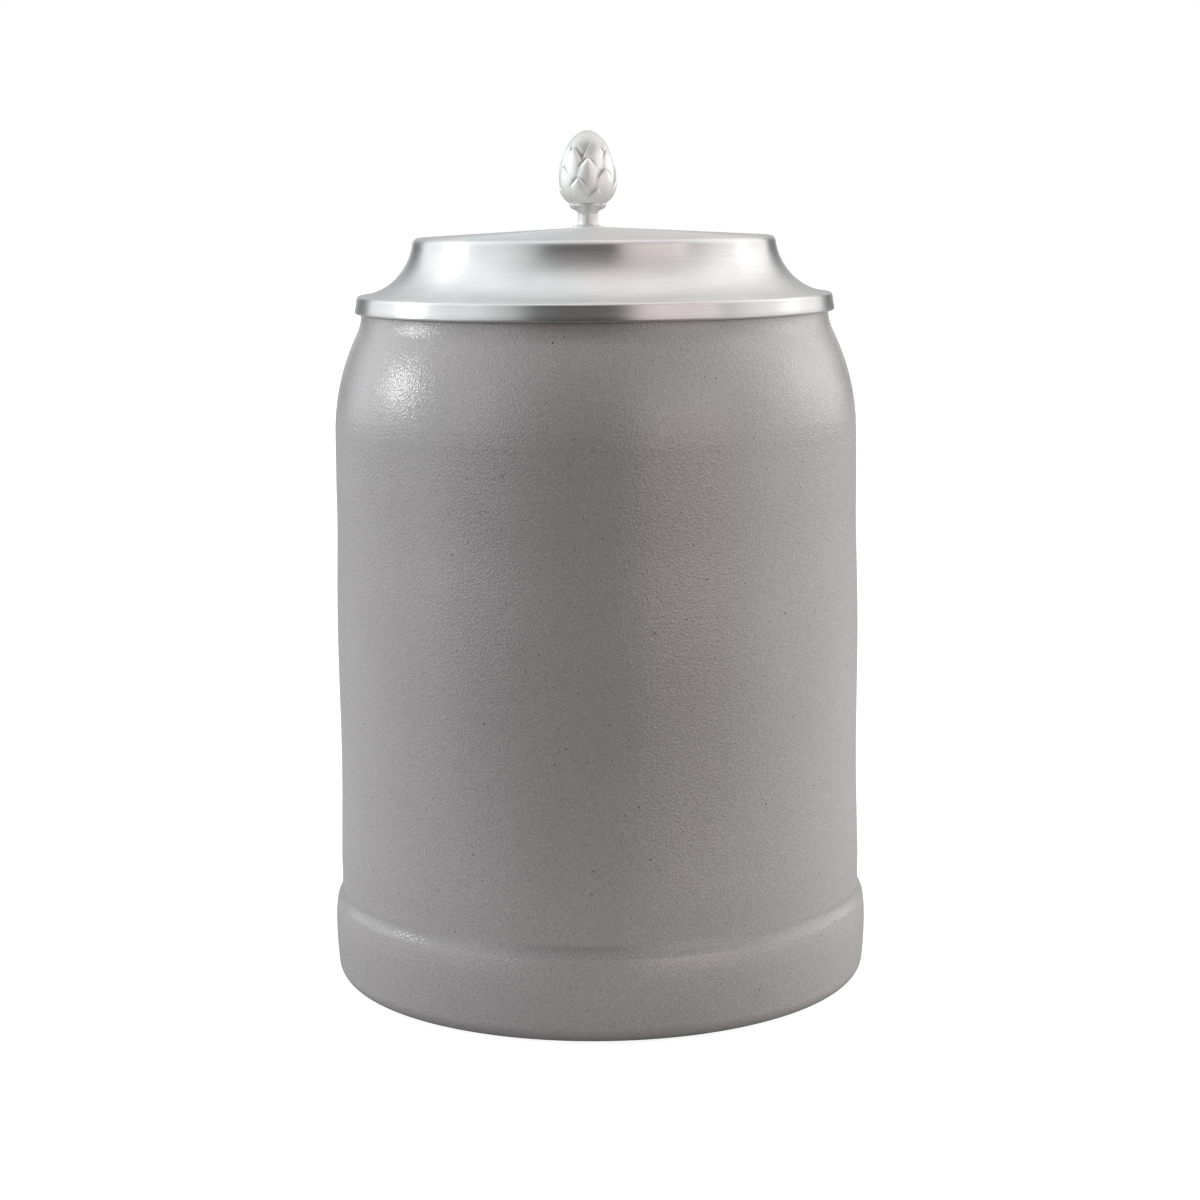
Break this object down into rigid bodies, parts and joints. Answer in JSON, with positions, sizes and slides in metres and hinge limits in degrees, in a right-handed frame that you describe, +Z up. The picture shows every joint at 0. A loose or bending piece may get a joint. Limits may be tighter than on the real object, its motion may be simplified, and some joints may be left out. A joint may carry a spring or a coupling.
{
  "type": "stoneware beer stein",
  "caption": "Lidded stoneware mug with a foot band, drawn-in neck and strap handle; a hinged pewter lid opens by a cone-shaped thumb-lift.",
  "frame": {"origin": "centre of the flat base, on the surface that the mug stands on", "axes": "+Z up along the axis of the mug, +Y towards the handle and the hinge, +X along the hinge pin"},
  "size_m": [0.097, 0.1332, 0.1531],
  "materials": {
    "stoneware": "warm grey stoneware under a satin salt glaze with a fine pebbled skin and dark specks",
    "pewter": "pewter, brushed round the lid's axis",
    "bright_pewter": "cast pewter, polished bright",
    "pin_steel": "plain steel wire"
  },
  "bodies": {
    "stein": {"stein_body": "stoneware", "handle": "stoneware", "handle_strap": "pewter", "hinge_shank": "pewter", "hinge_pin": "pin_steel", "hinge_end_caps": "pewter"},
    "lid": {"lid_shell": "pewter", "lid_tang": "pewter", "thumb_lift": "bright_pewter"}
  },
  "joints": [
    {"name": "lid_hinge", "type": "hinge", "parent": "stein", "child": "lid", "pos_m": [0, 0.0525, 0.123], "axis": [-1, 0, 0], "range_deg": [0, 115]}
  ]
}
